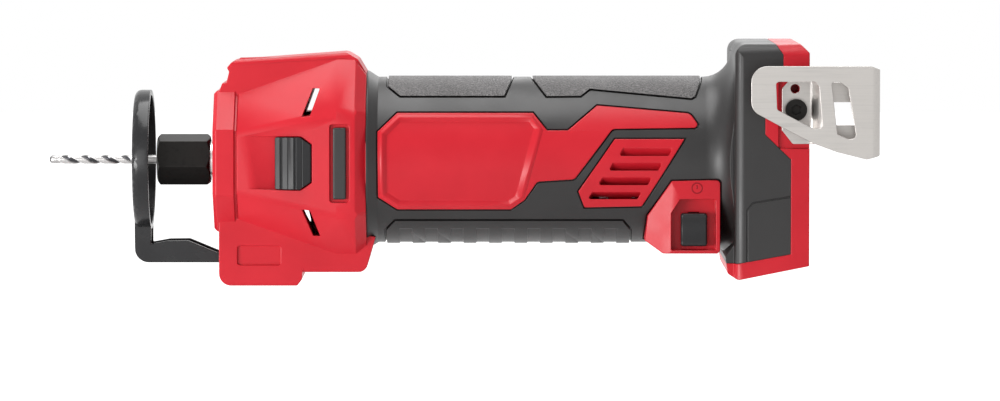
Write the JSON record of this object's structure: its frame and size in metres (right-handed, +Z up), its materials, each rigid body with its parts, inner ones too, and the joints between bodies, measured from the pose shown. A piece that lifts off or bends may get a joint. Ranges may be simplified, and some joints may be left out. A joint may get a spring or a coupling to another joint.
{
  "type": "drywall cut out tool",
  "caption": "Cordless drywall cut out tool: barrel handle with a soft grip, flared head, collet spindle with a spiral bit, sliding depth guide, belt clip and battery foot.",
  "frame": {"origin": "where the spindle axis crosses the working face of the depth guide at rest", "axes": "+X along the spindle from the bit to the battery foot, +Z up, the switch and belt clip side faces -Y"},
  "size_m": [0.292, 0.0885, 0.086],
  "materials": {
    "red_plastic": "fine moulded texture",
    "soft_grip": "matt overmoulded rubber",
    "black_plastic": "moulded",
    "black_steel": "gloss black",
    "black_oxide": "black oxide, satin",
    "clip_steel": "brushed",
    "bright_steel": "ground",
    "core_steel": "laminated",
    "magnet": "sintered",
    "copper": "enamelled copper",
    "brass": "turned",
    "carbon": "pressed carbon",
    "board_green": "circuit board",
    "lamp_board": "circuit board with a light chip",
    "clear_lens": "clear moulding",
    "felt": "pressed felt",
    "wire_red": "insulation"
  },
  "bodies": {
    "housing": {"left_housing": "red_plastic", "right_housing": "red_plastic", "left_grip": "soft_grip", "right_grip": "soft_grip", "head_pads": "soft_grip", "housing_screws": "bright_steel", "lever_pin": "bright_steel", "spindle_seal": "felt", "front_bearing_outer_ring": "bright_steel", "led_lens": "clear_lens", "led_board": "lamp_board", "motor_can": "bright_steel", "motor_magnets": "magnet", "brush_holder": "black_plastic", "carbon_brushes": "carbon", "brush_springs": "bright_steel", "rear_bearing_outer_ring": "bright_steel", "rear_bearing_boot": "soft_grip", "switch_module": "black_plastic", "control_board": "board_green", "lead_wires": "wire_red", "terminal_block": "black_plastic", "battery_terminals": "brass", "belt_clip": "clip_steel", "belt_clip_screw": "black_oxide", "clip_inserts": "brass"},
    "spindle": {"rotor_shaft": "bright_steel", "rotor_core": "core_steel", "rotor_windings": "copper", "commutator": "copper", "cooling_fan": "black_plastic", "front_bearing_inner_ring": "bright_steel", "front_bearing_balls": "bright_steel", "rear_bearing_inner_ring": "bright_steel", "rear_bearing_balls": "bright_steel", "lock_collar": "bright_steel", "collet": "bright_steel", "cutting_bit": "bright_steel"},
    "nut": {"collet_nut": "black_oxide"},
    "guide": {"depth_guide": "black_steel"},
    "clamp_lever": {"guide_lever": "black_plastic"},
    "spindle_lock": {"spindle_lock_button": "black_plastic", "spindle_lock_dog": "bright_steel"},
    "power_switch": {"power_switch_button": "black_plastic"}
  },
  "joints": [
    {"name": "spindle_spin", "type": "hinge", "parent": "housing", "child": "spindle", "pos_m": [0, 0, 0], "axis": [1, 0, 0], "continuous": true},
    {"name": "nut_turn", "type": "hinge", "parent": "spindle", "child": "nut", "pos_m": [0, 0, 0], "axis": [1, 0, 0], "range_deg": [-360, 0]},
    {"name": "guide_slide", "type": "slide", "parent": "housing", "child": "guide", "axis": [1, 0, 0], "range_m": [-0.008, 0.012]},
    {"name": "lever_swing", "type": "hinge", "parent": "housing", "child": "clamp_lever", "pos_m": [0.0395, 0.014, -0.035], "axis": [0, 0, 1], "range_deg": [0, 95]},
    {"name": "lock_slide", "type": "slide", "parent": "housing", "child": "spindle_lock", "axis": [-1, 0, 0], "range_m": [0, 0.0055], "stiffness_N_per_m": 400, "springref_m": -0.003},
    {"name": "switch_slide", "type": "slide", "parent": "housing", "child": "power_switch", "axis": [0, 0, 1], "range_m": [0, 0.004]}
  ]
}
